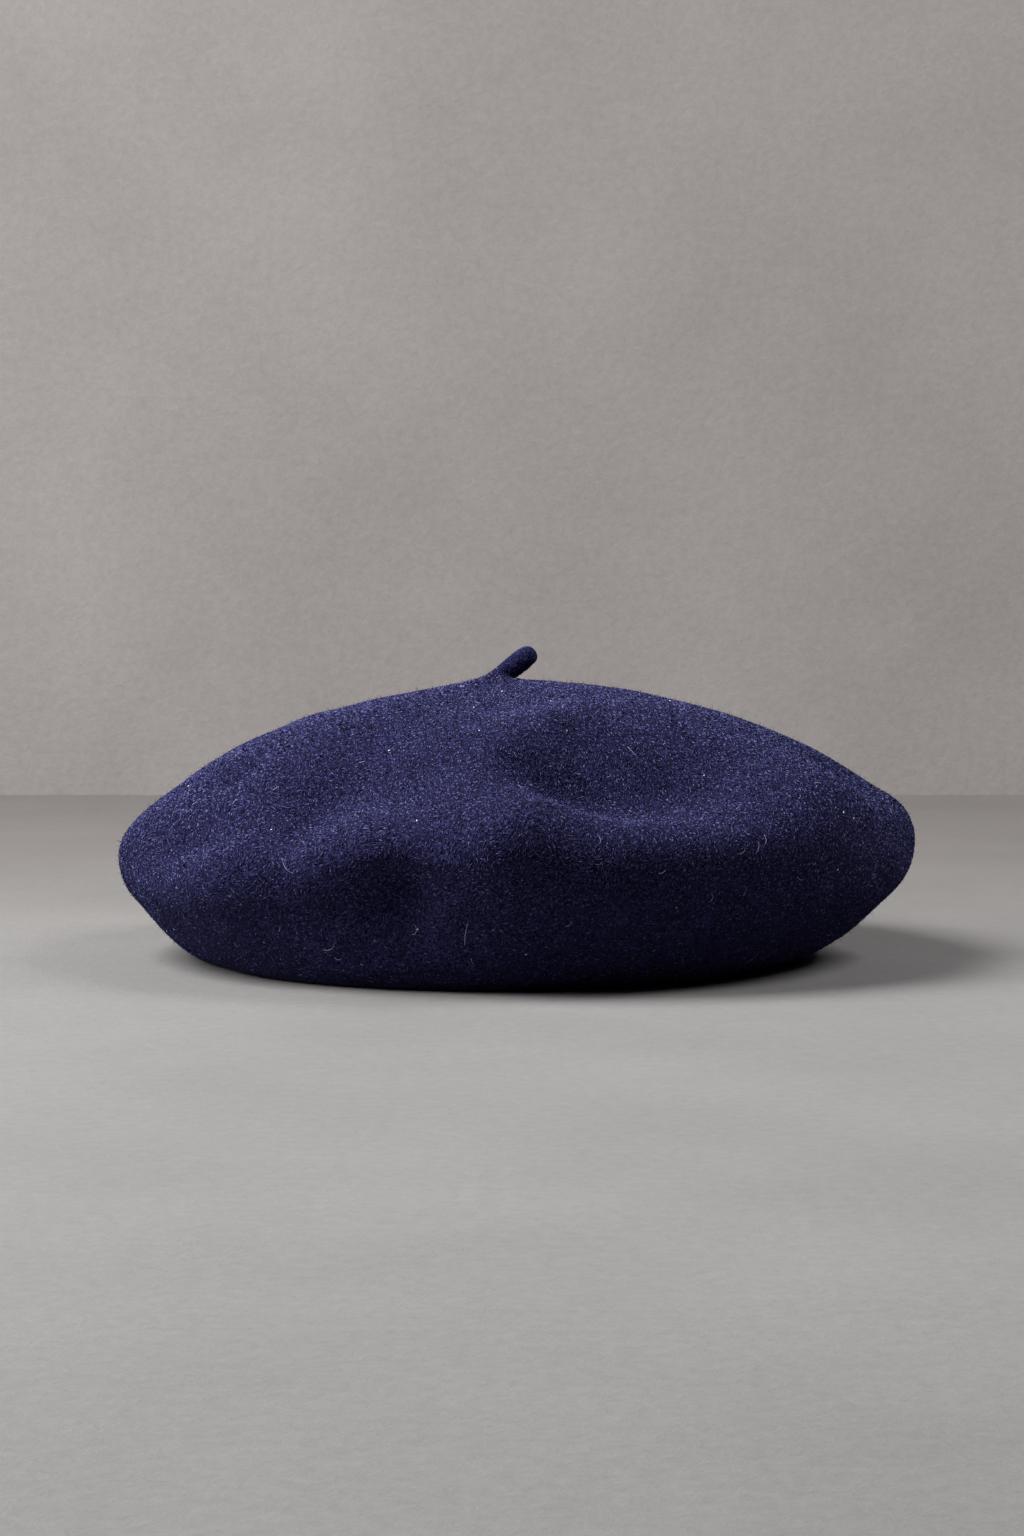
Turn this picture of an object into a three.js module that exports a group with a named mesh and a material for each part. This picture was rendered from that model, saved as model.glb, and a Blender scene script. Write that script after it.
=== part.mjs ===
// A basque beret of wool felt, lying flat as it lies by itself. Millimetres, +Z up.
// The front is -Y and the right side +X. The origin is under the middle, on the surface it lies on.
import * as THREE from 'three';
import { ParametricGeometry } from 'three/addons/geometries/ParametricGeometry.js';

// Driving dimensions.
const FELT_THICKNESS = 2.4;
const OPENING_RADIUS = 86;
const REST_RADIUS = 104;
const SEAT_RADIUS = 4.9; // 0.3 more than the stalk's root
const SEAT_DEPTH = 1.5;

// The felt from the stalk's seat, over the crown, round the rim and back under to the head
// opening. Each row is a ring: its radius and height, how far its middle lies to the right, how
// far it leans to the right in degrees, how much higher it is at the front, and how thick the
// felt is.
const RINGS = [
  { radius: SEAT_RADIUS, height: 98.7, shift: 0.1, lean: 5, frontRise: 0, felt: 3.6 },
  { radius: 7.6, height: 98.3, shift: 0, lean: 5, frontRise: 0, felt: 3.4 },
  { radius: 12, height: 97.3, shift: 0, lean: 0, frontRise: 0, felt: 3 },
  { radius: 19, height: 95.95, shift: 0.3, lean: -2.4, frontRise: 0, felt: FELT_THICKNESS },
  { radius: 35, height: 93.6, shift: 0.7, lean: -2.1, frontRise: 0.2, felt: FELT_THICKNESS },
  { radius: 53, height: 90.0, shift: 1.4, lean: -1.7, frontRise: 0.6, felt: FELT_THICKNESS },
  { radius: 71, height: 85.2, shift: 1.9, lean: -1.45, frontRise: 1.2, felt: FELT_THICKNESS },
  { radius: 88.8, height: 78.1, shift: 2.6, lean: -1.3, frontRise: 2, felt: FELT_THICKNESS },
  { radius: 103.6, height: 70.4, shift: 2.9, lean: -1.2, frontRise: 3, felt: FELT_THICKNESS },
  { radius: 115.9, height: 62, shift: 3.4, lean: -1.15, frontRise: 4, felt: FELT_THICKNESS },
  { radius: 131.5, height: 50.5, shift: 4.2, lean: -1.15, frontRise: 5, felt: FELT_THICKNESS },
  { radius: 137.7, height: 40.5, shift: 4, lean: -1.1, frontRise: 5, felt: FELT_THICKNESS },
  { radius: 135.8, height: 28.2, shift: 3.5, lean: -1, frontRise: 4, felt: FELT_THICKNESS },
  { radius: 128.4, height: 18.6, shift: 3.1, lean: -0.7, frontRise: 2.4, felt: FELT_THICKNESS },
  { radius: 119.8, height: 9.6, shift: 1.7, lean: -0.3, frontRise: 1, felt: FELT_THICKNESS },
  { radius: 110.5, height: 2.4, shift: 0.4, lean: 0, frontRise: 0.2, felt: FELT_THICKNESS },
  { radius: REST_RADIUS, height: 0, shift: -0.5, lean: 0, frontRise: 0, felt: FELT_THICKNESS },
  { radius: OPENING_RADIUS, height: 0, shift: -1, lean: 0, frontRise: 0, felt: FELT_THICKNESS },
];

// Soft dents (positive depth) and swells (negative depth). bearing is in degrees from the front,
// towards the right. along is the distance down the felt from the crown's middle. across and length
// are half widths, round the hat and down the felt, turned by turn degrees.
const FOLDS = [
  { name: 'brow_front', bearing: 2, along: 93, across: 15, length: 39, turn: 42, depth: -7 },
  { name: 'hollow_front', bearing: 8, along: 116.5, across: 28, length: 10.5, turn: 30, depth: 7.8 },
  { name: 'hollow_front_right', bearing: 30, along: 117.5, across: 33, length: 22, turn: -6, depth: 10.5 },
  { name: 'swell_front_right', bearing: 54.5, along: 129, across: 26, length: 23, turn: -11, depth: -6.3 },
  { name: 'hollow_low_right', bearing: 35, along: 167, across: 31.5, length: 9.5, turn: -7, depth: 3.4 },
  { name: 'saddle_left', bearing: -18.5, along: 112.5, across: 23, length: 22, turn: 10, depth: 8.8 },
  { name: 'trough_left', bearing: -34, along: 118.5, across: 16, length: 42, turn: 3, depth: 10.5 },
  { name: 'dimple_left', bearing: -61, along: 111.5, across: 9, length: 11, turn: 0, depth: 5.1 },
  { name: 'cove_shoulder', bearing: -14, along: 170, across: 39, length: 18.5, turn: -8, depth: 10.4 },
  { name: 'cove_corner', bearing: -15.5, along: 167.5, across: 10, length: 20, turn: 5, depth: 4.5 },
  { name: 'cove_left', bearing: -58.5, along: 148.5, across: 29.5, length: 13, turn: -13, depth: 9.9 },
  { name: 'ridge_front', bearing: -1, along: 148, across: 15, length: 21.5, turn: 31, depth: -7 },
  { name: 'crease_right', bearing: 80, along: 132.5, across: 13.5, length: 26.5, turn: 6, depth: 4.6 },
  { name: 'crease_far_right', bearing: 72, along: 129.5, across: 10, length: 22, turn: 10, depth: 2.3 },
  { name: 'swell_back_right', bearing: 84, along: 146, across: 32.5, length: 42, turn: 7, depth: -5.1 },
  { name: 'tip_right_upper', bearing: 88, along: 137, across: 16, length: 10, turn: 1, depth: 1.7 },
  { name: 'tip_right_lower', bearing: 87, along: 167, across: 16, length: 9, turn: 0, depth: -1.1 },
];
const FLAT_BELOW = 10; // no fold reaches the felt that is pressed flat on the surface

// Where the foot of the rim is lifted off the surface: the bearing and half width in degrees, and
// how high. The lift fades out up the side.
const LIFTS = [
  { name: 'right_front', bearing: 55, span: 18, rise: 1.8 },
  { name: 'left_front', bearing: -63, span: 14, rise: 1.1 },
];
const LIFT_FADES = 24;

// The stalk bends over to the right. Each row is a section: how far right of the seat its middle
// is, its height, its radius, and how far it leans from upright, in degrees.
const STALK_SECTIONS = [
  { right: 0.1, height: 97.6, radius: 4.6, lean: 0 },
  { right: 0.3, height: 98.8, radius: 4.4, lean: 8 },
  { right: 1.4, height: 100.1, radius: 4.1, lean: 28 },
  { right: 3.7, height: 101.6, radius: 3.75, lean: 46 },
  { right: 6.5, height: 103.6, radius: 3.55, lean: 51 },
  { right: 8.7, height: 105.2, radius: 3.5, lean: 52 },
  { right: 10.2, height: 106.3, radius: 3.2, lean: 52 },
  { right: 11.4, height: 107.2, radius: 2.2, lean: 52 },
  { right: 11.9, height: 107.6, radius: 0, lean: 52 },
];

const STEPS_PER_RING = 2;
const CROWN_SIDES = 80;
const STALK_SIDES = 16;
const NAVY = 0x2b2c4a;

const degrees = THREE.MathUtils.degToRad;

// The value of a table's column at a place between its rows, on a smooth Catmull-Rom curve.
function smoothColumn(table, column, place) {
  const row = Math.min(Math.floor(place), table.length - 2);
  const value = (index) => table[THREE.MathUtils.clamp(index, 0, table.length - 1)][column];
  const [before, start, end, after] = [value(row - 1), value(row), value(row + 1), value(row + 2)];
  const step = place - row;
  const slope = end - before;
  const bend = 2 * before - 5 * start + 4 * end - after;
  const twist = 3 * start - before - 3 * end + after;
  return start + 0.5 * step * (slope + step * (bend + step * twist));
}

// Distance down the felt from the crown's middle to each station, a step between two rings.
const STATIONS = (RINGS.length - 1) * STEPS_PER_RING;
const reach = [SEAT_RADIUS];
for (let station = 1; station <= STATIONS; station += 1) {
  const [from, to] = [(station - 1) / STEPS_PER_RING, station / STEPS_PER_RING];
  const run = smoothColumn(RINGS, 'radius', to) - smoothColumn(RINGS, 'radius', from);
  const drop = smoothColumn(RINGS, 'height', to) - smoothColumn(RINGS, 'height', from);
  reach.push(reach[station - 1] + Math.hypot(run, drop));
}

function reachAt(place) {
  const station = Math.min(Math.floor(place * STEPS_PER_RING), STATIONS - 1);
  return THREE.MathUtils.lerp(reach[station], reach[station + 1], place * STEPS_PER_RING - station);
}

// How far the folds push the felt in at a bearing and a distance down the felt.
function foldDepth(bearing, along, radius) {
  let depth = 0;
  for (const fold of FOLDS) {
    const turned = bearing - degrees(fold.bearing);
    const round = Math.atan2(Math.sin(turned), Math.cos(turned)) * radius;
    const down = along - fold.along;
    const [cos, sin] = [Math.cos(degrees(fold.turn)), Math.sin(degrees(fold.turn))];
    const across = (round * cos + down * sin) / fold.across;
    const length = (down * cos - round * sin) / fold.length;
    depth += fold.depth * Math.exp(-across * across - length * length);
  }
  return depth;
}

// How far the rim's foot is lifted off the surface at a bearing and a height.
function liftAt(bearing, height) {
  let total = 0;
  for (const lift of LIFTS) {
    const turned = bearing - degrees(lift.bearing);
    const share = Math.atan2(Math.sin(turned), Math.cos(turned)) / degrees(lift.span);
    total += lift.rise * Math.exp(-share * share);
  }
  return total * (1 - THREE.MathUtils.smoothstep(height, 0, LIFT_FADES));
}

// A point on the outside of the felt. place counts the rings from the seat.
function outside(place, bearing) {
  const radius = smoothColumn(RINGS, 'radius', place);
  const height = smoothColumn(RINGS, 'height', place);
  const step = 0.01;
  const outwards = new THREE.Vector2(
    smoothColumn(RINGS, 'height', place - step) - smoothColumn(RINGS, 'height', place + step),
    smoothColumn(RINGS, 'radius', place + step) - smoothColumn(RINGS, 'radius', place - step),
  ).normalize();
  const freedom = THREE.MathUtils.smoothstep(height, 0, FLAT_BELOW);
  const depth = freedom * foldDepth(bearing, reachAt(place), radius);
  const lean = degrees(smoothColumn(RINGS, 'lean', place));
  const frontRise = smoothColumn(RINGS, 'frontRise', place) * (0.5 + 0.5 * Math.cos(bearing)) ** 2;
  const rise = frontRise + liftAt(bearing, height);
  const folded = radius - depth * outwards.x;
  const right = folded * Math.sin(bearing);
  return new THREE.Vector3(
    right * Math.cos(lean) + smoothColumn(RINGS, 'shift', place),
    -folded * Math.cos(bearing),
    Math.max(0, height - depth * outwards.y - right * Math.sin(lean) + rise),
  );
}

// The point of the felt's inner side under a point of its outside.
function inside(place, bearing) {
  const step = 0.02;
  const down = outside(Math.min(place + step, RINGS.length - 1), bearing)
    .sub(outside(Math.max(place - step, 0), bearing));
  const round = outside(place, bearing + step).sub(outside(place, bearing - step));
  const inwards = down.cross(round).normalize().multiplyScalar(-smoothColumn(RINGS, 'felt', place));
  return outside(place, bearing).add(inwards);
}

// A closed surface through a list of rings, each a function from a bearing to a point.
function closedSurface(rings, sides) {
  const pointAt = (round, along, target) => {
    const bearing = -2 * Math.PI * (Math.round(round * sides) % sides) / sides;
    target.copy(rings[Math.round(along * (rings.length - 1))](bearing));
  };
  return new ParametricGeometry(pointAt, sides, rings.length - 1);
}

function crownGeometry() {
  const seatMiddle = new THREE.Vector3(RINGS[0].shift, 0, RINGS[0].height - SEAT_DEPTH);
  const seat = (radius) => (bearing) => new THREE.Vector3(
    seatMiddle.x + radius * Math.sin(bearing), -radius * Math.cos(bearing), seatMiddle.z,
  );
  const places = Array.from({ length: STATIONS + 1 }, (_, station) => station / STEPS_PER_RING);
  const outer = places.map((place) => (bearing) => outside(place, bearing));
  const inner = places.map((place) => (bearing) => inside(place, bearing)).reverse();
  const under = () => new THREE.Vector3(seatMiddle.x, 0, seatMiddle.z - FELT_THICKNESS);
  return closedSurface([seat(0), seat(SEAT_RADIUS), ...outer, ...inner, under], CROWN_SIDES);
}

function stalkGeometry() {
  const section = ({ right, height, radius, lean }) => (bearing) => new THREE.Vector3(
    right + radius * Math.sin(bearing) * Math.cos(degrees(lean)),
    -radius * Math.cos(bearing),
    height - radius * Math.sin(bearing) * Math.sin(degrees(lean)),
  );
  const root = section({ ...STALK_SECTIONS[0], radius: 0 });
  return closedSurface([...STALK_SECTIONS.map(section).reverse(), root], STALK_SIDES);
}

function felt(name, geometry) {
  const material = new THREE.MeshStandardMaterial({ color: NAVY, roughness: 0.95, metalness: 0 });
  const mesh = new THREE.Mesh(geometry, material);
  mesh.name = name;
  return mesh;
}

const beret = new THREE.Group();
beret.add(felt('crown', crownGeometry()));
beret.add(felt('stalk', stalkGeometry()));

// The origin goes under the middle of the whole hat.
const middle = new THREE.Box3().setFromObject(beret).getCenter(new THREE.Vector3());
beret.position.set(-middle.x, -middle.y, 0);

export default beret;
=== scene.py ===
"""A navy wool felt beret, lying as it lies by itself: crown, stalk, nap and lint."""
import math

import bpy
import numpy as np
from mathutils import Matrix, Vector


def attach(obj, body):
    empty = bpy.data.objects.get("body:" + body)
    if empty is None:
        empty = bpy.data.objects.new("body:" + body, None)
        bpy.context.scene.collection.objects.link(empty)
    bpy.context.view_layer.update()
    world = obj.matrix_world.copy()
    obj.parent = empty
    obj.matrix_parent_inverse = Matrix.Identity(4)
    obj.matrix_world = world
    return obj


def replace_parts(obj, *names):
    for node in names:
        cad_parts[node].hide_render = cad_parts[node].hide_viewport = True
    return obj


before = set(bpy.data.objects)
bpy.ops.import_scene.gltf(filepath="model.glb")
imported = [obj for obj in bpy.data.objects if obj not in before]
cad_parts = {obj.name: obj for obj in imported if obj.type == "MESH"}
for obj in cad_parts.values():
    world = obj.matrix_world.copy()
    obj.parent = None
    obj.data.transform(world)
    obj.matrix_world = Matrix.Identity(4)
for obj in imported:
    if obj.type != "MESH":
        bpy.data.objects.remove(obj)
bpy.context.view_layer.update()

MM = 0.001
SEED = 7

# ---------------------------------------------------------------- the felt's form, in millimetres

FELT_THICKNESS = 2.4
FLAT_BELOW = 10.0  # no fold reaches the felt that is pressed flat on the surface

# Rings of the felt from the foot of the stalk, over the crown, round the rim and back under to
# the head opening: radius, height, how far the middle lies to the right, how far the ring leans
# to the right in degrees, and how much higher it is at the front.
RING_COLUMNS = ("radius", "height", "shift", "lean", "front_rise")
RINGS = np.array([
    (3.52, 100.45, 2.35, 33.5, 0.0),
    (4.65, 99.35, 1.85, 17.8, 0.0),
    (6.55, 98.4, 1.5, 8.0, 0.0),
    (9.65, 97.45, 1.1, 2.0, 0.0),
    (14, 96.6, 0.6, -0.8, 0.0),
    (19, 95.95, 0.3, -2.4, 0.0),
    (35, 93.6, 0.7, -2.1, 0.2),
    (53, 90.0, 1.4, -1.7, 0.6),
    (71, 85.2, 1.9, -1.45, 1.2),
    (88.8, 78.1, 2.6, -1.3, 2.0),
    (103.6, 70.4, 2.9, -1.2, 3.0),
    (115.9, 62.0, 3.4, -1.15, 4.0),
    (131.5, 50.5, 4.2, -1.15, 5.0),
    (137.7, 40.5, 4.0, -1.1, 5.0),
    (135.8, 28.2, 3.5, -1.0, 4.0),
    (128.4, 18.6, 3.1, -0.7, 2.4),
    (119.8, 9.6, 1.7, -0.3, 1.0),
    (110.5, 2.4, 0.4, 0.0, 0.2),
    (104, 0.0, -0.5, 0.0, 0.0),
    (86, 0.0, -1.0, 0.0, 0.0),
])

# Soft dents, and swells where the depth is negative: bearing in degrees from the front towards
# the right, distance down the felt from the crown's middle, half widths round the hat and down
# the felt, turn in degrees, depth.
FOLDS = {
    "brow_front": (2, 93, 15, 39, 42, -7),
    "hollow_front": (8, 116.5, 28, 10.5, 30, 7.8),
    "hollow_front_right": (30, 117.5, 33, 22, -6, 10.5),
    "swell_front_right": (54.5, 129, 26, 23, -11, -6.3),
    "hollow_low_right": (35, 167, 31.5, 9.5, -7, 3.4),
    "saddle_left": (-18.5, 112.5, 23, 22, 10, 8.8),
    "trough_left": (-34, 118.5, 16, 42, 3, 10.5),
    "dimple_left": (-61, 111.5, 9, 11, 0, 5.1),
    "cove_shoulder": (-14, 170, 39, 18.5, -8, 10.4),
    "cove_corner": (-15.5, 167.5, 10, 20, 5, 4.5),
    "cove_left": (-58.5, 148.5, 29.5, 13, -13, 9.9),
    "ridge_front": (-1, 148, 15, 21.5, 31, -7),
    "crease_right": (80, 132.5, 13.5, 26.5, 6, 4.6),
    "crease_far_right": (72, 129.5, 10, 22, 10, 2.3),
    "swell_back_right": (84, 146, 32.5, 42, 7, -5.1),
    "tip_right_upper": (88, 137, 16, 10, 1, 1.7),
    "tip_right_lower": (87, 167, 16, 9, 0, -1.1),
}

# Where the foot of the rim is lifted off the surface: bearing, half width in degrees, height.
LIFTS = {
    "right_front": (55, 18, 1.8),
    "left_front": (-63, 14, 1.1),
}
LIFT_FADES = 24.0

# Sections of the stalk from its root to its tip: how far right of the foot, height, radius, lean.
STALK_COLUMNS = ("right", "height", "radius", "lean")
STALK = np.array([
    (1.0, 97.2, 3.2, 5.0),
    (1.5, 98.8, 3.35, 20.0),
    (2.4, 100.4, 3.45, 34.0),
    (4.1, 101.8, 3.5, 47.0),
    (6.55, 103.65, 3.55, 51.5),
    (8.7, 105.2, 3.5, 51.5),
    (10.1, 106.3, 3.25, 51.5),
    (11.1, 107.0, 2.7, 51.5),
    (11.85, 107.6, 1.7, 51.5),
    (12.2, 107.85, 0.0, 51.5),
])

# Loose pale hairs on the front: bearing, distance down the felt, heading, length, turn.
LOOSE_HAIRS = (
    (27, 92, -82, 5.4, 0.4),
    (19, 108, 20, 2.3, 0.6),
    (1.5, 114, -80, 4.6, 0.4),
    (3, 116, 30, 3.2, 3.4),
    (-30, 190, -20, 6.4, 1.6),
    (-15, 186, -20, 5.0, 3.6),
    (-6.2, 188, 96, 8.6, -0.4),
    (-5.2, 191, -75, 2.6, 0.3),
    (-63, 131, 30, 2.5, 0.5),
    (-51, 129, 60, 2.5, 0.5),
    (-36, 91, 10, 2.8, 0.8),
    (-34, 154, -75, 7.8, 1.1),
    (-37, 183, 40, 3.0, 0.8),
    (-28, 193, -50, 3.0, 1.5),
    (-57, 200, 10, 3.4, 1.0),
    (-47, 190, 70, 3.0, 0.6),
    (-45, 120, 35, 3.0, 1.2),
    (-22, 140, -30, 2.6, 0.9),
    (53, 133, -40, 3.0, 0.6),
    (47, 138, 10, 3.2, 0.8),
    (37, 153, 50, 3.6, 1.0),
    (32, 155, -20, 4.6, 1.6),
    (35, 156, 30, 5.2, 1.2),
    (44, 164, -50, 3.6, 1.0),
    (29, 172, 10, 5.0, 3.0),
    (35, 171, 60, 3.6, 0.8),
    (45, 201, 60, 7.6, 0.9),
    (64, 190, -30, 4.0, 1.2),
    (12, 150, 75, 3.4, 0.9),
    (20, 160, -15, 3.0, 1.4),
    (8, 178, 20, 2.8, 1.0),
)

# Flecks of pale lint on the front: bearing, distance down the felt, heading, length, turn.
LINT = (
    (17.5, 54, 20, 0.8, 0.3), (13, 90, 60, 0.7, 0.3), (-6, 86, 100, 0.9, 0.3), (-11, 55, 70, 1.0, 0.3),
    (0, 31, 30, 0.9, 0.3), (-52, 19, 15, 0.9, 0.3), (-14, 137, 70, 0.9, 0.3), (-40, 137, 40, 0.7, 0.3),
    (-30, 84, 20, 0.8, 0.3), (54, 146, 30, 0.9, 0.3), (56, 148, 10, 0.8, 0.3), (52, 163, 60, 0.7, 0.3),
    (-14, 185, 50, 1.1, 0.3), (3, 189, 30, 0.7, 0.3), (24, 173, 80, 0.7, 0.3), (40, 110, 20, 0.7, 0.3),
)

# ---------------------------------------------------------------- sizes of the pieces, in millimetres

OUTER_STEPS, INNER_STEPS, SIDES = 136, 40, 420
STALK_STEPS, STALK_SIDES = 90, 64
SEAT_GAP, SEAT_SECTION = 0.06, 1.9
SLOPE_STEP, NEAR = 0.01, 0.02  # small steps along the rings, to measure a slope or a normal
STEPS_PER_RING, TABLE_STEPS = 40, 2000  # steps down the section, to sum and to look up distances

# Lumps of the felt: their size, their height, how many waves make them, and the heights between
# which they set in.
LUMP_SIZE, LUMP_HEIGHT, LUMP_WAVES, LUMPS_SET_IN = 26.0, 0.22, 24, (1.0, 14.0)
STALK_LUMP_SIZE, STALK_LUMP_HEIGHT, STALK_LUMP_WAVES = 5.0, 0.12, 16

# How the nap lies: the heights over which the brushing changes, its turn on the left and on the
# right of the side in degrees, and soft whorls that turn it by radians.
BRUSHED_HEIGHTS, SIDE_TURN = (38.0, 62.0), (80.0, 40.0)
WHORL_SIZE, WHORL_TURN, WHORL_WAVES = 9.0, 1.0, 12
# Heights over which the painted shade on the side gives way: below them only a share of the paler
# strands is kept, so the side is darker.
PAINTED_SHADE_HEIGHTS = (15.0, 50.0)
SWIRL = 9  # how far the strands of the felt's surface are moved into whorls

# Nap strands: spread of their headings and of their normals, rise of their sides, depth of their
# ends in the felt.
STRAND_SPREAD, STRAND_TILT = 0.45, 0.45
STRAND_LIFT, STRAND_SUNK = (0.08, 0.40), 0.08
NAP_CLEAR, FUZZ_CLEAR = 3.0, 4.0  # neither grows lower than this

# Fuzz: joints of a fibre, spread of its heading, how rare the long ones are, its curl, its root.
FUZZ_JOINTS, FUZZ_SPREAD, FUZZ_RARITY, FUZZ_CURL, FUZZ_SUNK = 3, 3.0, 2.5, 1.1, 0.15
HAIR_JOINTS = 9
THIRDS = [2 * math.pi * corner / 3 for corner in range(3)]

# Where hairs are scattered: bearings over the sides and the back, and the distance down the felt
# as reach times the root of a share, for an even spread.
BACK_BEARINGS, BACK_REACH, BACK_SHARES = (78, 290), 200, (0.02, 0.96)

# ---------------------------------------------------------------- colours, and the studio in metres

DARK_NAVY, MID_NAVY, PALE_NAVY = (0.0013, 0.0009, 0.004), (0.008, 0.0068, 0.029), (0.040, 0.038, 0.126)
SHEEN_BLUE = (0.62, 0.64, 1.0)
FLOOR_GREY, WALL_GREY = (0.247, 0.232, 0.235), (0.304, 0.276, 0.276)
MOTTLE_SHARES = (0.88, 1.09)
# Painted shade on the floor and the walls: the floor darker and warmer towards the back, the walls
# darker higher up, as the lamps' light falls off. Each stop is a place in metres along the axis and the
# share kept of each part of the colour.
FLOOR_PAINTED_FALLOFF = ((0.0, (1, 1, 1)), (0.4, (0.80, 0.765, 0.745)))
WALL_PAINTED_FALLOFF = ((0.0, (1, 1, 1)), (0.4, (0.88, 0.88, 0.88)))
LAMP_TINT, ROOM_TINT, ROOM_STRENGTH = (1.0, 1.03, 1.0), (1.0, 0.25, 0.95), 0.009
LIT_PLACE = (0, 0, 0.03)

# The wall is tall behind the hat alone and low beside that, so that it leaves the hat in sight
# from behind on either side.
WALL_AWAY, SIDE_WALL_AWAY, SIDE_WALL_HEIGHT, EDGE = 0.79, -1.9, 1, 4
LOW, TALL, TALL_REACH = 0.18, 0.7, 0.5
WALL_OUTLINE = [
    (-EDGE, 0), (EDGE, 0), (EDGE, LOW), (TALL_REACH, LOW),
    (TALL_REACH, TALL), (-TALL_REACH, TALL), (-TALL_REACH, LOW), (-EDGE, LOW),
]
CAMERA_PLACE, CAMERA_TIP = (-0.0018, -1.281, 0.149), 3.69
LENS, SENSOR = 85, 36


# ---------------------------------------------------------------- the form worked out


def column(table, names, name, place):
    """A table's column between its rows, on a Catmull-Rom curve through them."""
    rows = table[:, names.index(name)]
    row = np.clip(np.floor(place).astype(int), 0, len(rows) - 2)
    step = place - row
    before, start, end, after = (rows[np.clip(row + k, 0, len(rows) - 1)] for k in (-1, 0, 1, 2))
    bend = 2 * before - 5 * start + 4 * end - after
    twist = 3 * start - before - 3 * end + after
    return start + 0.5 * step * (end - before + step * (bend + step * twist))


def smooth_step(value, low, high):
    """0 below low, 1 above high and a smooth cubic between them."""
    share = np.clip((value - low) / (high - low), 0, 1)
    return share * share * (3 - 2 * share)


def ring(name, place):
    return column(RINGS, RING_COLUMNS, name, place)


def distance_down(place):
    """Distance down the felt from the crown's middle, summed along the rings' section."""
    fine = np.linspace(0, len(RINGS) - 1, STEPS_PER_RING * len(RINGS))
    steps = np.hypot(np.diff(ring("radius", fine)), np.diff(ring("height", fine)))
    return ring("radius", 0) + np.interp(place, fine, np.concatenate([[0], np.cumsum(steps)]))


def fold_depth(bearing, along, radius):
    """Sum of bell-shaped dents, each an ellipse turned on the felt."""
    depth = 0
    for turn_round, down, across, length, turn, deep in FOLDS.values():
        away = bearing - math.radians(turn_round)
        round_felt = np.arctan2(np.sin(away), np.cos(away)) * radius
        cos, sin = math.cos(math.radians(turn)), math.sin(math.radians(turn))
        u = (round_felt * cos + (along - down) * sin) / across
        v = ((along - down) * cos - round_felt * sin) / length
        depth = depth + deep * np.exp(-u * u - v * v)
    return depth


def lift(bearing, height):
    """How far the rim is lifted off the surface, fading out up its side."""
    total = 0
    for turn_round, span, high in LIFTS.values():
        away = bearing - math.radians(turn_round)
        share = np.arctan2(np.sin(away), np.cos(away)) / math.radians(span)
        total = total + high * np.exp(-share * share)
    return total * (1 - smooth_step(height, 0, LIFT_FADES))


def waves(points, size, count, seed):
    """Soft random lumps: sine waves in random directions, their sum divided by the root of their
    number."""
    random = np.random.default_rng(seed)
    facing = random.normal(size=(count, 3))
    facing /= np.linalg.norm(facing, axis=1, keepdims=True)
    pitch = 2 * math.pi / (size * random.uniform(0.6, 1.8, count))
    phase = random.uniform(0, 2 * math.pi, count)
    total = 0
    for way, rate, start in zip(facing, pitch, phase):
        total = total + np.sin(points @ way * rate + start)
    return total / math.sqrt(count)


def outside(place, bearing):
    """The felt's outside: a ring of the section turned about the middle, pushed in along the
    section's normal by the folds, then leant to the right and raised at the front."""
    place, bearing = np.broadcast_arrays(place, bearing)
    radius, height = ring("radius", place), ring("height", place)
    along_r = ring("radius", place + SLOPE_STEP) - ring("radius", place - SLOPE_STEP)
    along_z = ring("height", place + SLOPE_STEP) - ring("height", place - SLOPE_STEP)
    slope = np.hypot(along_r, along_z)
    free = smooth_step(height, 0, FLAT_BELOW)
    depth = free * fold_depth(bearing, distance_down(place), radius)
    lean = np.radians(ring("lean", place))
    folded = radius + depth * along_z / slope
    rise = ring("front_rise", place) * (0.5 + 0.5 * np.cos(bearing)) ** 2 + lift(bearing, height)
    return np.stack([
        folded * np.cos(lean) * np.sin(bearing) + ring("shift", place),
        -folded * np.cos(bearing),
        np.maximum(0, height - depth * along_r / slope - folded * np.sin(lean) * np.sin(bearing) + rise),
    ], axis=-1)


def grid_normals(points):
    """Unit normals of a grid of points that closes round its second way."""
    down = np.gradient(points, axis=0)
    round_way = np.roll(points, -1, axis=1) - np.roll(points, 1, axis=1)
    normals = np.cross(down, round_way)
    return normals / np.maximum(np.linalg.norm(normals, axis=-1, keepdims=True), 1e-9)


# ---------------------------------------------------------------- meshes


def mesh_object(name, vertices, *face_groups):
    """A smooth mesh object at the origin: vertices in millimetres, faces as arrays of vertex numbers."""
    corners = np.concatenate([faces.ravel() for faces in face_groups])
    sizes = np.concatenate([np.full(len(faces), faces.shape[1]) for faces in face_groups])
    mesh = bpy.data.meshes.new(name)
    mesh.vertices.add(len(vertices))
    mesh.vertices.foreach_set("co", (vertices * MM).ravel())
    mesh.loops.add(len(corners))
    mesh.loops.foreach_set("vertex_index", corners)
    mesh.polygons.add(len(sizes))
    mesh.polygons.foreach_set("loop_start", np.cumsum(sizes) - sizes)
    mesh.polygons.foreach_set("use_smooth", np.full(len(sizes), True))
    mesh.update(calc_edges=True)
    piece = bpy.data.objects.new(name, mesh)
    bpy.context.scene.collection.objects.link(piece)
    return piece


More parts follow.
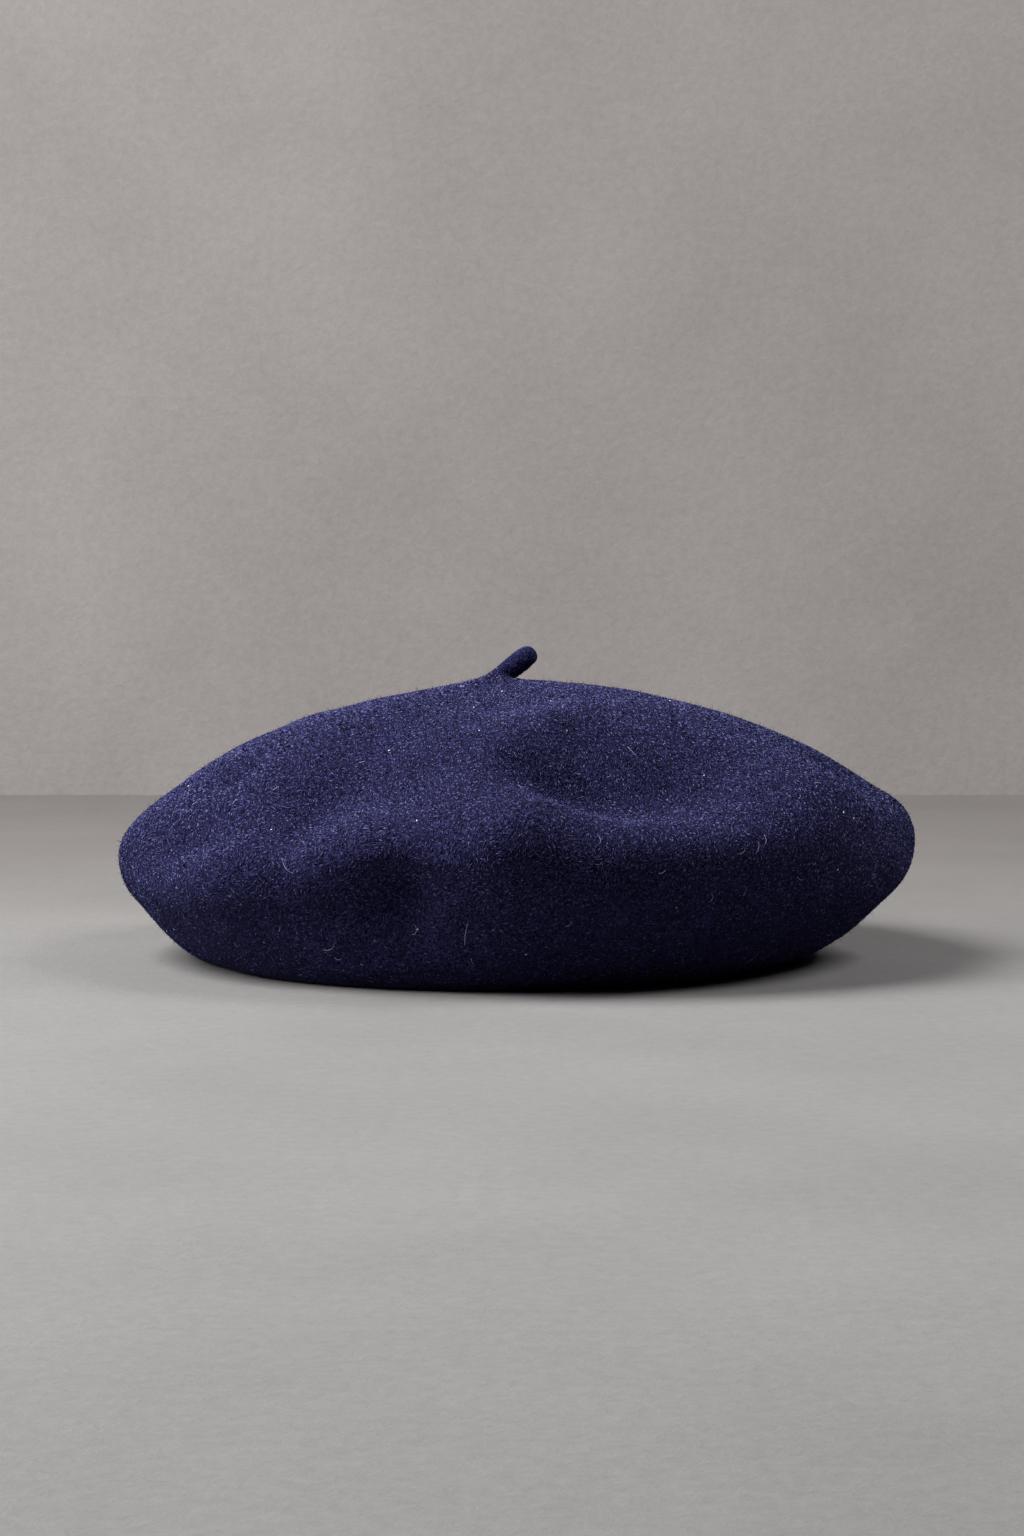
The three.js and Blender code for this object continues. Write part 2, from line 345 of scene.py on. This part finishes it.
def closed_rings(name, rings, top, bottom):
    """A closed skin over rings of points, with a fan of triangles to a pole at each end."""
    count, sides, _ = rings.shape
    index = np.arange(count * sides).reshape(count, sides)
    beside = np.roll(index, -1, axis=1)
    quads = np.stack([index[:-1], index[1:], beside[1:], beside[:-1]], -1).reshape(-1, 4)
    first, last = count * sides, count * sides + 1
    fan_top = np.stack([np.full(sides, first), index[0], beside[0]], -1)
    fan_bottom = np.stack([np.full(sides, last), beside[-1], index[-1]], -1)
    vertices = np.concatenate([rings.reshape(-1, 3), [top], [bottom]])
    return mesh_object(name, vertices, quads, np.concatenate([fan_top, fan_bottom]))


def felt_crown():
    """The crown as one skin: down into the stalk's seat, over the outside, round the cut edge of
    the head opening and back up the inner side, a felt's thickness in."""
    bearings = np.linspace(0, 2 * math.pi, SIDES, endpoint=False)[None, :]
    outer = outside(np.linspace(0, len(RINGS) - 1, OUTER_STEPS)[:, None], bearings)
    inner = outside(np.linspace(0, len(RINGS) - 1, INNER_STEPS)[:, None], bearings)
    inner = inner - grid_normals(inner) * FELT_THICKNESS
    inner[..., 2] = np.where(inner[..., 2] < FELT_THICKNESS, FELT_THICKNESS, inner[..., 2])
    middle = (outer.max((0, 1)) + outer.min((0, 1))) / 2 * (1, 1, 0)
    outer, inner = outer - middle, inner - middle
    free = smooth_step(outer[..., 2], *LUMPS_SET_IN)
    lumps = LUMP_HEIGHT * waves(outer, LUMP_SIZE, LUMP_WAVES, SEED) * free
    outer += grid_normals(outer) * lumps[..., None]
    seat = stalk_rings(np.array([[SEAT_SECTION], [0.0]]), bearings, SEAT_GAP) - middle
    top = seat[-1].mean(0) - (0, 0, SEAT_GAP)
    bottom = inner[0].mean(0)
    skin = np.concatenate([seat[::-1], outer, inner[:0:-1]])
    return closed_rings("felt_crown", skin, top, bottom), outer, middle


def stalk_rings(place, bearing, gap=0.0):
    """Rings round the stalk's path, each leant square to it, gap wider than the stalk."""
    right, height, radius, lean = (column(STALK, STALK_COLUMNS, name, place) for name in STALK_COLUMNS)
    radius, lean = radius + gap, np.radians(lean)
    return np.stack(np.broadcast_arrays(
        right + radius * np.sin(bearing) * np.cos(lean),
        -radius * np.cos(bearing),
        height - radius * np.sin(bearing) * np.sin(lean),
    ), axis=-1)


def felt_stalk(middle):
    """The stalk as one skin between its root in the seat and its round tip."""
    bearings = np.linspace(0, 2 * math.pi, STALK_SIDES, endpoint=False)[None, :]
    places = np.linspace(0, len(STALK) - 1, STALK_STEPS)[:, None]
    rings = stalk_rings(places, bearings) - middle
    lumps = STALK_LUMP_HEIGHT * waves(rings, STALK_LUMP_SIZE, STALK_LUMP_WAVES, SEED + 1)
    rings += grid_normals(rings) * lumps[..., None]
    top = rings[-1].mean(0)
    rings = rings[-2::-1]
    return closed_rings("felt_stalk", rings, top, rings[-1].mean(0)), rings


# ---------------------------------------------------------------- fibres


def roots_on(skin, count, random):
    """Even roots on a grid skin: steps of equal area along its rows, each shifted at random.
    Returns the roots, the skin's normals there and its direction down the grid."""
    down, across = skin[1:] - skin[:-1], np.roll(skin, -1, axis=1)[:-1] - skin[:-1]
    area = np.linalg.norm(np.cross(across, down), axis=-1)
    total = np.cumsum(area)
    place = (np.arange(count) + random.random(count)) / count * total[-1]
    cell = np.searchsorted(total, place)
    row, col = np.unravel_index(cell, area.shape)
    next_col = (col + 1) % skin.shape[1]
    u = 1 - ((total[cell] - place) / area[row, col])[:, None]
    v = random.random((count, 1))
    normals = grid_normals(skin)

    def between(field):
        upper = field[row, col] * (1 - u) + field[row, next_col] * u
        lower = field[row + 1, col] * (1 - u) + field[row + 1, next_col] * u
        return upper * (1 - v) + lower * v

    normal = unit(between(normals))
    way = down[row, col]
    way = unit(way - normal * (way * normal).sum(-1, keepdims=True))
    return between(skin), normal, way


def unit(vectors):
    return vectors / np.maximum(np.linalg.norm(vectors, axis=-1, keepdims=True), 1e-9)


def fibres(name, roots, heading, turning, length, curl, width):
    """Thin hairs. Each runs along an arc: heading * sin(curl s) / curl + turning *
    (1 - cos(curl s)) / curl, times its length, for s from 0 to 1."""
    length, curl = length[:, None, None], curl[:, None, None]
    s = np.linspace(0, 1, FUZZ_JOINTS)[None, :, None]
    curl = np.where(np.abs(curl) < 1e-3, 1e-3, curl)
    along, aside = np.sin(curl * s) / curl, (1 - np.cos(curl * s)) / curl
    line = roots[:, None] + length * (heading[:, None] * along + turning[:, None] * aside)
    tangent = unit(heading[:, None] * np.cos(curl * s) + turning[:, None] * np.sin(curl * s))
    side = np.cross(heading, turning)[:, None] + 0 * tangent
    return hair_mesh(name, line, side, np.cross(tangent, side), width)


def hair_mesh(name, line, side, up, width):
    """Three-sided hairs round lines of points, each thinning to a point: half its width times
    (1 - 0.75 s squared) at the share s of its length."""
    count, joints, _ = line.shape
    s = np.linspace(0, 1, joints)[None, :, None]
    half = 0.5 * width * (1 - s ** 2 * 0.75)
    corners = [line + half * (side * math.cos(a) + up * math.sin(a)) for a in THIRDS]
    rings = np.stack(corners, axis=2)[:, :-1]
    vertices = np.concatenate([rings.reshape(count, -1, 3), line[:, -1:]], axis=1)
    first = vertices.shape[1] * np.arange(count)[:, None, None]
    index = (hair_faces(joints - 1)[None] + first).reshape(-1, 3)
    return mesh_object(name, vertices.reshape(-1, 3), index)


def hair_faces(rings):
    """Triangles of one hair: its foot, its sides between rings of three and its point."""
    faces = [(0, 2, 1)]
    for ring_number in range(rings - 1):
        for corner in range(3):
            a, b = 3 * ring_number + corner, 3 * ring_number + (corner + 1) % 3
            faces += [(a, b, b + 3), (a, b + 3, a + 3)]
    last, tip = 3 * (rings - 1), 3 * rings
    faces += [(last + corner, last + (corner + 1) % 3, tip) for corner in range(3)]
    return np.array(faces)


def combed(normal, way, random, rise):
    """Headings that rise from the skin by rise radians, turned about its normal by random angles
    around the way down, and a turning direction square to each."""
    turn = random.normal(0, FUZZ_SPREAD, (len(normal), 1))
    flat = way * np.cos(turn) + np.cross(normal, way) * np.sin(turn)
    rise = rise[:, None]
    heading = unit(flat * np.cos(rise) + normal * np.sin(rise))
    roll = random.uniform(0, 2 * math.pi, (len(normal), 1))
    first = unit(np.cross(heading, normal) + 1e-6)
    return heading, first * np.cos(roll) + np.cross(heading, first) * np.sin(roll)


def lying(normal, way, points):
    """Directions along the felt. On the top the wool is brushed towards the middle; down the side
    it lies round the hat, rising to the right, and more so on the right. Soft waves turn it."""
    share_right = 0.5 + 0.5 * points[:, 0] / np.hypot(points[:, 0], points[:, 1])
    side = 1 - smooth_step(points[:, 2], *BRUSHED_HEIGHTS)
    left, right = SIDE_TURN
    angle = math.pi - side * np.radians(left + (right - left) * share_right)
    angle = (angle + WHORL_TURN * waves(points, WHORL_SIZE, WHORL_WAVES, SEED + 5))[:, None]
    return way * np.cos(angle) + np.cross(normal, way) * np.sin(angle)


def nap(name, skin, count, seed, length, width, material, strands_and_painted_shade_share=1.0):
    """Strands laid on the felt, none where it meets the surface below. Low on the side only the share
    given as the last argument is kept, so that the side is darker there: painted shade. Each is a long
    four-sided body with its two ends in the felt and its two sides raised, so that it arches over it.
    It takes the light as the felt under it does, tilted a little at random."""
    random = np.random.default_rng(seed)
    roots, normal, way = roots_on(skin, count, random)
    # Painted shade: low on the side only a share of the strands is kept.
    chance = strands_and_painted_shade_share + (1 - strands_and_painted_shade_share) * smooth_step(roots[:, 2], *PAINTED_SHADE_HEIGHTS)
    standing = (roots[:, 2] > NAP_CLEAR) & (random.random(count) < chance)
    roots, normal, way = roots[standing], normal[standing], way[standing]
    turn = random.normal(0, STRAND_SPREAD, (len(roots), 1))
    flat = lying(normal, way, roots)
    heading = flat * np.cos(turn) + np.cross(normal, flat) * np.sin(turn)
    side = np.cross(normal, heading)
    half_length = random.uniform(*length, (len(roots), 1)) / 2
    half_width = random.uniform(*width, (len(roots), 1)) / 2
    raised = random.uniform(*STRAND_LIFT, (2, len(roots), 1))
    sunk = roots - normal * STRAND_SUNK
    vertices = np.stack([
        sunk - heading * half_length,
        sunk + heading * half_length,
        roots + normal * raised[0] + side * half_width,
        roots + normal * raised[1] - side * half_width,
    ], axis=1)
    faces = np.array([(0, 3, 2), (1, 2, 3), (0, 2, 1), (0, 1, 3)])
    index = (faces[None] + 4 * np.arange(len(roots))[:, None, None]).reshape(-1, 3)
    piece = mesh_object(name, vertices.reshape(-1, 3), index)
    tilted = unit(normal + random.normal(0, STRAND_TILT, normal.shape))
    piece.data.normals_split_custom_set_from_vertices(np.repeat(tilted, 4, axis=0))
    return finished(piece, material)


def fuzz(name, skin, count, seed, length, width, rise, material):
    """Bent fibres, most of them short, that stand off the felt and soften its outline."""
    random = np.random.default_rng(seed)
    roots, normal, way = roots_on(skin, count, random)
    standing = roots[:, 2] > FUZZ_CLEAR
    roots, normal, way = roots[standing], normal[standing], way[standing]
    heading, turning = combed(normal, way, random, random.uniform(*rise, len(roots)))
    long = length[0] + (length[1] - length[0]) * random.random(len(roots)) ** FUZZ_RARITY
    curl = random.normal(0, FUZZ_CURL, len(roots))
    roots = roots - normal * FUZZ_SUNK
    return finished(fibres(name, roots, heading, turning, long, curl, width), material)


def loose_wool(name, rows, middle, width, clear, material):
    """Pale hairs that have worked loose and lie on the felt. Each row is a hair: the bearing and
    the distance down the felt where it starts, its heading (0 round the hat to the right, 90
    towards the middle), its length, and how far it turns along it, in radians. Its line is worked
    out on the felt and raised by clear times 1 + sin(pi s)."""
    bearing, down, heading, length, curl = (np.array(rows, float)[:, k, None] for k in range(5))
    s = np.linspace(0, 1, HAIR_JOINTS)[None, :]
    angle = np.radians(heading) + curl * s
    step = length / (HAIR_JOINTS - 1)
    right = np.cumsum(np.cos(angle), axis=1) * step
    down = down - np.cumsum(np.sin(angle), axis=1) * step
    fine = np.linspace(0, len(RINGS) - 1, TABLE_STEPS)
    place = np.interp(down, distance_down(fine), fine)
    bearing = np.radians(bearing) + right / ring("radius", place)
    normal = unit(np.cross(outside(place + NEAR, bearing) - outside(place - NEAR, bearing),
                           outside(place, bearing + NEAR) - outside(place, bearing - NEAR)))
    line = outside(place, bearing) - middle + normal * (clear * (1 + np.sin(math.pi * s)))[..., None]
    tangent = unit(np.gradient(line, axis=1))
    side = unit(np.cross(tangent, normal))
    return finished(hair_mesh(name, line, side, np.cross(tangent, side), width), material)


def scattered(count, seed, length, curl):
    """Rows of loose hairs for the sides and the back, where none is listed."""
    random = np.random.default_rng(seed)
    return np.stack([
        random.uniform(*BACK_BEARINGS, count),
        BACK_REACH * np.sqrt(random.uniform(*BACK_SHARES, count)),
        random.uniform(0, 360, count),
        random.uniform(*length, count),
        random.uniform(*curl, count),
    ], axis=1)


# ---------------------------------------------------------------- materials


def new_material(name):
    material = bpy.data.materials.new(name)
    material.use_nodes = True
    nodes = material.node_tree.nodes
    return material, nodes, material.node_tree.links, nodes["Principled BSDF"]


def noise(nodes, links, vector, scale, detail, distortion=0.0, roughness=0.5):
    node = nodes.new("ShaderNodeTexNoise")
    node.inputs["Scale"].default_value = scale
    node.inputs["Detail"].default_value = detail
    node.inputs["Roughness"].default_value = roughness
    node.inputs["Distortion"].default_value = distortion
    links.new(vector, node.inputs["Vector"])
    return node.outputs["Fac"]


def ramp(nodes, links, factor, *stops):
    """A colour ramp with (place, colour) stops."""
    node = nodes.new("ShaderNodeValToRGB")
    elements = node.color_ramp.elements
    for number, (place, colour) in enumerate(stops):
        element = elements[number] if number < 2 else elements.new(place)
        element.position, element.color = place, (*colour, 1)
    links.new(factor, node.inputs["Fac"])
    return node.outputs["Color"]


def maths(nodes, links, operation, first, second):
    node = nodes.new("ShaderNodeMath")
    node.operation = operation
    for socket, value in zip(node.inputs, (first, second)):
        if isinstance(value, (int, float)):
            socket.default_value = value
        else:
            links.new(value, socket)
    return node.outputs[0]


def swirled(nodes, links, place, shift):
    """The place, moved by a soft noise of a few millimetres so that strands curl and lie in whorls."""
    whorl = nodes.new("ShaderNodeTexNoise")
    whorl.inputs["Scale"].default_value = 95
    whorl.inputs["Detail"].default_value = 1
    links.new(place, whorl.inputs["Vector"])
    moved = nodes.new("ShaderNodeVectorMath")
    moved.operation = "MULTIPLY_ADD"
    links.new(whorl.outputs["Color"], moved.inputs[0])
    moved.inputs[1].default_value = (SWIRL * MM, SWIRL * MM, SWIRL * MM)
    moved.inputs[2].default_value = shift
    total = nodes.new("ShaderNodeVectorMath")
    links.new(place, total.inputs[0])
    links.new(moved.outputs[0], total.inputs[1])
    return total.outputs[0]


def strands(nodes, links, place, scale, width, shift):
    """Thin curling lines where a noise passes its middle value: 1 on a line, 0 away from it."""
    field = noise(nodes, links, swirled(nodes, links, place, shift), scale, 1.5, distortion=0.4)
    away = maths(nodes, links, "ABSOLUTE", maths(nodes, links, "SUBTRACT", field, 0.5), 0)
    line = maths(nodes, links, "SUBTRACT", 1.0, maths(nodes, links, "DIVIDE", away, width))
    return maths(nodes, links, "MAXIMUM", line, 0.0)


def felt_material():
    """Brushed navy wool: curling strands about 2 mm long and a third of a millimetre thick over
    darker, fluffier felt, with soft clouds where the nap lies one way or the other."""
    material, nodes, links, shader = new_material("navy_felt")
    place = nodes.new("ShaderNodeTexCoord").outputs["Object"]
    upper = strands(nodes, links, place, scale=700, width=0.07, shift=(0, 0, 0))
    lower = strands(nodes, links, place, scale=900, width=0.08, shift=(0.31, 0.17, 0.23))
    fluff = noise(nodes, links, place, scale=1500, detail=2, distortion=0.6, roughness=0.6)
    clouds = noise(nodes, links, place, scale=34, detail=3)
    strands_and_painted_shade_share = maths(nodes, links, "MAXIMUM", upper, maths(nodes, links, "MULTIPLY", lower, 0.75))
    strands_and_painted_shade_share = maths(nodes, links, "ADD", maths(nodes, links, "MULTIPLY", strands_and_painted_shade_share, 0.55),
                   maths(nodes, links, "MULTIPLY", fluff, 0.45))
    tone = maths(nodes, links, "ADD", strands_and_painted_shade_share, maths(nodes, links, "MULTIPLY", clouds, 0.1))
    colour = ramp(nodes, links, tone, (0.2, DARK_NAVY), (0.45, MID_NAVY), (0.85, PALE_NAVY))
    links.new(colour, shader.inputs["Base Color"])
    shader.inputs["Roughness"].default_value = 0.95
    shader.inputs["Specular IOR Level"].default_value = 0.05
    shader.inputs["Sheen Weight"].default_value = 0.02
    shader.inputs["Sheen Roughness"].default_value = 0.5
    shader.inputs["Sheen Tint"].default_value = (*SHEEN_BLUE, 1)
    bump = nodes.new("ShaderNodeBump")
    bump.inputs["Strength"].default_value = 1.0
    bump.inputs["Distance"].default_value = 0.5 * MM
    links.new(strands_and_painted_shade_share, bump.inputs["Height"])
    links.new(bump.outputs["Normal"], shader.inputs["Normal"])
    return material


def fibre_material(name, colour):
    """Plain matt wool of one colour."""
    material, _, _, shader = new_material(name)
    shader.inputs["Base Color"].default_value = (*colour, 1)
    shader.inputs["Roughness"].default_value = 0.85
    shader.inputs["Specular IOR Level"].default_value = 0.08
    return material


def multiplied(nodes, links, first, second):
    """Two colours multiplied by each other."""
    node = nodes.new("ShaderNodeMix")
    node.data_type, node.blend_type = "RGBA", "MULTIPLY"
    node.inputs["Factor"].default_value = 1
    links.new(first, node.inputs["A"])
    links.new(second, node.inputs["B"])
    return node.outputs["Result"]


def plain_material(name, colour, roughness, axis, painted_falloff):
    """Pale plaster or stone with a faint mottle and fine grain, darkened along one axis by painted shade
    for the lamps' light falling off, between two stops, each a place and the share kept of each part of
    the colour."""
    material, nodes, links, shader = new_material(name)
    place = nodes.new("ShaderNodeTexCoord").outputs["Object"]
    cloud = noise(nodes, links, place, scale=7, detail=5, roughness=0.6)
    grain = noise(nodes, links, place, scale=220, detail=4, distortion=0.3, roughness=0.75)
    mottle = maths(nodes, links, "ADD", maths(nodes, links, "MULTIPLY", cloud, 0.5),
                   maths(nodes, links, "MULTIPLY", grain, 0.5))
    dark, pale = (tuple(part * share for part in colour) for share in MOTTLE_SHARES)
    surface = ramp(nodes, links, mottle, (0.35, dark), (0.65, pale))
    axes = nodes.new("ShaderNodeSeparateXYZ")
    links.new(place, axes.inputs[0])
    # Painted shade: the colour is darkened along the axis between the two stops.
    (start, first), (end, last) = painted_falloff
    along = maths(nodes, links, "SUBTRACT", axes.outputs[axis], start)
    share = maths(nodes, links, "DIVIDE", along, end - start)
    shade = ramp(nodes, links, share, (0.0, first), (1.0, last))
    links.new(multiplied(nodes, links, surface, shade), shader.inputs["Base Color"])
    shader.inputs["Roughness"].default_value = roughness
    bump = nodes.new("ShaderNodeBump")
    bump.inputs["Strength"].default_value = 0.35
    bump.inputs["Distance"].default_value = 1 * MM
    links.new(grain, bump.inputs["Height"])
    links.new(bump.outputs["Normal"], shader.inputs["Normal"])
    return material


def finished(piece, material):
    """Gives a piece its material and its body."""
    piece.data.materials.append(material)
    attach(piece, "root")
    return piece


# ---------------------------------------------------------------- the studio


def studio():
    """A pale floor that meets a pale wall, a second wall on the left, two soft lamps on the left
    and a weaker one on the right. The floor is painted darker and warmer towards the back and the walls
    darker higher up: painted shade for the lamps' light falling off."""
    for name, corners, look_and_painted_falloff in (
        ("floor", [(-EDGE, -EDGE, 0), (EDGE, -EDGE, 0), (EDGE, WALL_AWAY, 0), (-EDGE, WALL_AWAY, 0)],
         (FLOOR_GREY, 0.8, "Y", FLOOR_PAINTED_FALLOFF)),
        ("wall", [(x, WALL_AWAY, z) for x, z in WALL_OUTLINE], (WALL_GREY, 0.9, "Z", WALL_PAINTED_FALLOFF)),
        ("side_wall", [(SIDE_WALL_AWAY, y, z) for y, z in (
            (-EDGE, 0), (EDGE, 0), (EDGE, SIDE_WALL_HEIGHT), (-EDGE, SIDE_WALL_HEIGHT))],
         (WALL_GREY, 0.9, "Z", WALL_PAINTED_FALLOFF)),
    ):
        mesh = bpy.data.meshes.new(name)
        mesh.from_pydata(corners, [], [range(len(corners))])
        mesh.materials.append(plain_material(name + "_surface_with_painted_falloff", *look_and_painted_falloff))
        plane = bpy.data.objects.new(name, mesh)
        bpy.context.scene.collection.objects.link(plane)
    lamp("tall_window", place=(-1.14, -0.36, 1.02), size=(0.8, 1.5), power=32)
    lamp("high_left", place=(-0.85, -0.2, 1.3), size=(0.8, 0.8), power=17)
    lamp("far_side", place=(0.95, 0.0, 1.1), size=(0.6, 0.6), power=11.5)
    world = bpy.data.worlds.new("room")
    world.use_nodes = True
    background = world.node_tree.nodes["Background"]
    background.inputs["Color"].default_value = (*ROOM_TINT, 1)
    background.inputs["Strength"].default_value = ROOM_STRENGTH
    bpy.context.scene.world = world


def lamp(name, place, size, power):
    """A soft rectangular lamp of the given width and height, turned to the hat."""
    light = bpy.data.lights.new(name, "AREA")
    light.shape, light.energy, light.color = "RECTANGLE", power, LAMP_TINT
    light.size, light.size_y = size
    holder = bpy.data.objects.new(name, light)
    holder.location = place
    holder.rotation_euler = (Vector(LIT_PLACE) - Vector(place)).to_track_quat("-Z", "Y").to_euler()
    bpy.context.scene.collection.objects.link(holder)


def camera():
    """A long lens in front of the hat, a little above it and tipped down."""
    lens = bpy.data.cameras.new("camera")
    lens.lens, lens.sensor_width = LENS, SENSOR
    holder = bpy.data.objects.new("camera", lens)
    holder.location = CAMERA_PLACE
    holder.rotation_euler = (math.radians(90 - CAMERA_TIP), 0, 0)
    bpy.context.scene.collection.objects.link(holder)
    bpy.context.scene.camera = holder


# ---------------------------------------------------------------- making it

camera()
studio()
felt = felt_material()
crown, outer, middle = felt_crown()
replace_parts(finished(crown, felt), "crown")
stalk, stalk_skin = felt_stalk(middle)
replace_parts(finished(stalk, felt), "stalk")

deep_wool = fibre_material("deep_wool", (0.007, 0.0066, 0.024))
mid_wool = fibre_material("mid_wool", (0.0238, 0.0230, 0.0965))
soft_wool = fibre_material("soft_wool", (0.0520, 0.0503, 0.169))
pale_wool = fibre_material("pale_wool", (0.136, 0.138, 0.294))

# Each gives the number of roots drawn, the seed, and its ranges of length and of width.
nap("nap_deep", outer, 49000, 10, (1.0, 2.0), (0.18, 0.30), mid_wool)
nap("nap_mid", outer, 49000, 11, (1.0, 2.0), (0.18, 0.30), mid_wool)
# The last number on these two lines is the share of their strands kept low on the side, fewer there as
# painted shade.
nap("nap_soft", outer, 54000, 14, (1.0, 2.0), (0.14, 0.25), soft_wool, 0.55)
nap("nap_pale", outer, 54000, 12, (0.9, 1.8), (0.11, 0.18), pale_wool, 0.3)
nap("stalk_nap_mid", stalk_skin, 2200, 15, (0.6, 1.3), (0.16, 0.28), mid_wool)
nap("stalk_nap_soft", stalk_skin, 800, 16, (0.5, 1.2), (0.12, 0.2), soft_wool)
fuzz("fuzz_deep", outer, 14500, 13, (0.6, 2.8), 0.12, (0.6, 1.4), deep_wool)
lint_white = fibre_material("lint_white", (0.48, 0.50, 0.80))
lint_pale = fibre_material("lint_pale", (0.86, 0.88, 0.95))
loose_wool("loose_hairs", LOOSE_HAIRS, middle, 0.14, 0.25, lint_white)
loose_wool("loose_hairs_back", scattered(46, 20, (2.2, 7.0), (0.3, 2.6)), middle, 0.14, 0.25, lint_white)
loose_wool("lint", LINT, middle, 0.42, 0.15, lint_pale)
loose_wool("lint_back", scattered(30, 21, (0.6, 1.0), (0.2, 0.6)), middle, 0.40, 0.15, lint_pale)

bpy.context.scene.view_settings.view_transform = "Standard"
